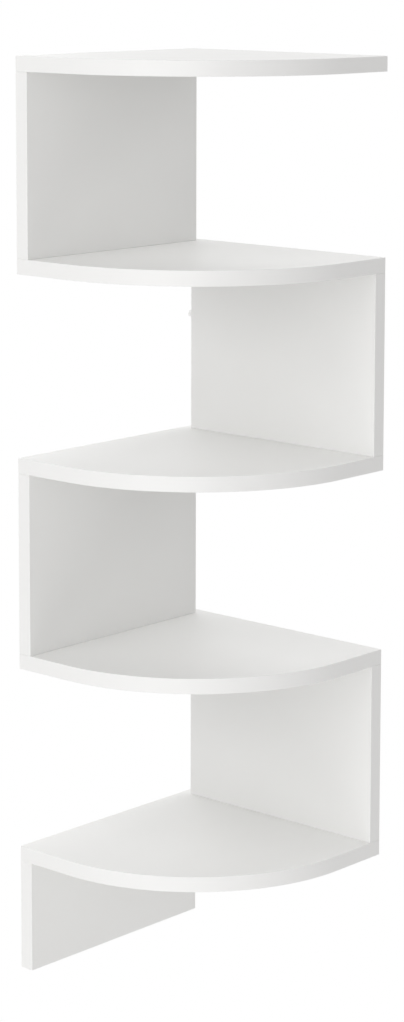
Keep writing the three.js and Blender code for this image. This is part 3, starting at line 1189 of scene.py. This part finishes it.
def makePlates():
    places, nodes = [], []
    for number in plates["panels"]:
        turn = turnTo(towardsWall(number), Vector((0, 0, 1)))
        places.append((atWall(number, boltPlace, 0, plateMiddle(number)), turn))
        nodes.append("side_panel_%d_hanging_plate" % number)
    tree = plateTree("hangingPlates", platedSteel)
    mesh, work = growCopies(tree, pointMesh([(0, 0, 0)]), places, plates, touching)
    rims = [edge for edge in work.edges if edge.calc_face_angle(0) > math.radians(angles["plateRim"])]
    bmesh.ops.bevel(
        work,
        geom=rims,
        offset=plates["rimSoftness"],
        segments=plates["rimSteps"],
        profile=0.5,
        affect="EDGES",
        clamp_overlap=True,
    )
    work.to_mesh(mesh)
    work.free()
    finishPiece("hangingPlates", mesh, nodes, platedSteel)
    print("hanging plates made:", len(places))


makePlates()


# Pale floor well below the unit, plain soft lamps and a white surround
studio = {
    "floorLevel": -1.40,
    "floorCentre": (0.1, -0.1),
    "floorRadius": 2.0,
    "floorSides": 96,
    "floorTone": (0.86, 0.86, 0.85, 1),
    "floorBright": (0.90, 0.90, 0.89, 1),
    "floorRoughness": 0.8,
    "dustSize": 0.33,
    "whiteAtMiddle": 0.5,
    "fadeFrom": 0.2,
    "fadeTo": 1.6,
    "surroundLight": 0.488,
    "surroundTone": (1.0, 0.99, 0.985, 1),
    "white": (1, 1, 1, 1),
}
# Each lamp: degrees round from the front, degrees up, distance, size, watts, aim
lamps = {
    "keyLeft": (-12.0, 30.0, 2.6, 2.2, 11.2, (0.08, -0.08, 0.36)),
    "keyRight": (25.0, 5.0, 2.6, 2.2, 19.0, (0.08, -0.08, 0.36)),
    "highFront": (20.0, 50.0, 2.6, 1.6, 7.2, (0.08, -0.08, 0.36)),
    "lowFill": (40.0, -50.0, 1.2, 1.0, 3.4, (0.08, -0.08, 0.10)),
    "rearRight": (180.0, 45.0, 2.6, 1.6, 15.6, (0.08, -0.08, 0.36)),
    "rearLeft": (-105.0, 10.0, 2.6, 2.4, 33.0, (0.08, -0.08, 0.36)),
}


def makeFloor(values):
    work = bmesh.new()
    sides, radius = values["floorSides"], values["floorRadius"]
    bmesh.ops.create_circle(work, cap_ends=True, segments=sides, radius=radius)
    bmesh.ops.translate(work, verts=work.verts, vec=(*values["floorCentre"], values["floorLevel"]))
    floor = linkObject("floor", meshFrom(work, "floor"))
    material, tree, shader, place = newMaterial("paleFloor")
    dust = noise(tree, place, values["dustSize"])
    colour = mixTones(tree, dust, values["floorTone"], values["floorBright"])
    feed(tree, shader, {"Base Color": colour, "Roughness": values["floorRoughness"]})
    # The floor melts into the white surround towards its rim
    level = addNode(tree, "ShaderNodeVectorMath", {0: place, 1: (1.0, 1.0, 0.0)}, operation="MULTIPLY")
    reach = addNode(tree, "ShaderNodeVectorMath", {0: level}, operation="LENGTH").outputs["Value"]
    fade = spread(tree, reach, values["whiteAtMiddle"], 1.0, values["fadeFrom"], values["fadeTo"])
    seen = addNode(tree, "ShaderNodeLightPath").outputs["Is Camera Ray"]
    white = addNode(tree, "ShaderNodeEmission", {"Color": values["white"], "Strength": 1.0})
    share = calc(tree, "MULTIPLY", seen, fade)
    blend = addNode(tree, "ShaderNodeMixShader", {0: share, 1: shader, 2: white})
    output = next(node for node in tree.nodes if node.type == "OUTPUT_MATERIAL")
    feed(tree, output, {"Surface": blend})
    floor.data.materials.append(material)


def makeSurround(values):
    world = bpy.data.worlds.new("whiteSurround")
    bpy.context.scene.world = world
    world.use_nodes = True
    tree = world.node_tree
    tree.nodes.clear()
    path = addNode(tree, "ShaderNodeLightPath").outputs
    seen = calc(tree, "MAXIMUM", path["Is Camera Ray"], path["Is Glossy Ray"])
    seen = calc(tree, "MAXIMUM", seen, path["Is Transmission Ray"])
    light = {"Color": values["surroundTone"], "Strength": values["surroundLight"]}
    light = addNode(tree, "ShaderNodeBackground", light)
    white = addNode(tree, "ShaderNodeBackground", {"Color": values["white"], "Strength": 1.0})
    blend = addNode(tree, "ShaderNodeMixShader", {0: seen, 1: light, 2: white})
    addNode(tree, "ShaderNodeOutputWorld", {0: blend})


def softLamp(name, azimuth, height, distance, size, power, target):
    data = bpy.data.lights.new(name, "AREA")
    data.shape = "SQUARE"
    data.size = size
    data.energy = power
    lamp = linkObject(name, data)
    turn, rise = math.radians(azimuth), math.radians(height)
    back = Vector((math.sin(turn) * math.cos(rise), -math.cos(turn) * math.cos(rise), math.sin(rise)))
    lamp.location = Vector(target) + back * distance
    lamp.rotation_euler = back.to_track_quat("Z", "Y").to_euler()


makeFloor(studio)
makeSurround(studio)
for lampName, lampValues in lamps.items():
    softLamp(lampName, *lampValues)
bpy.context.scene.view_settings.view_transform = "Standard"
print("studio ready")
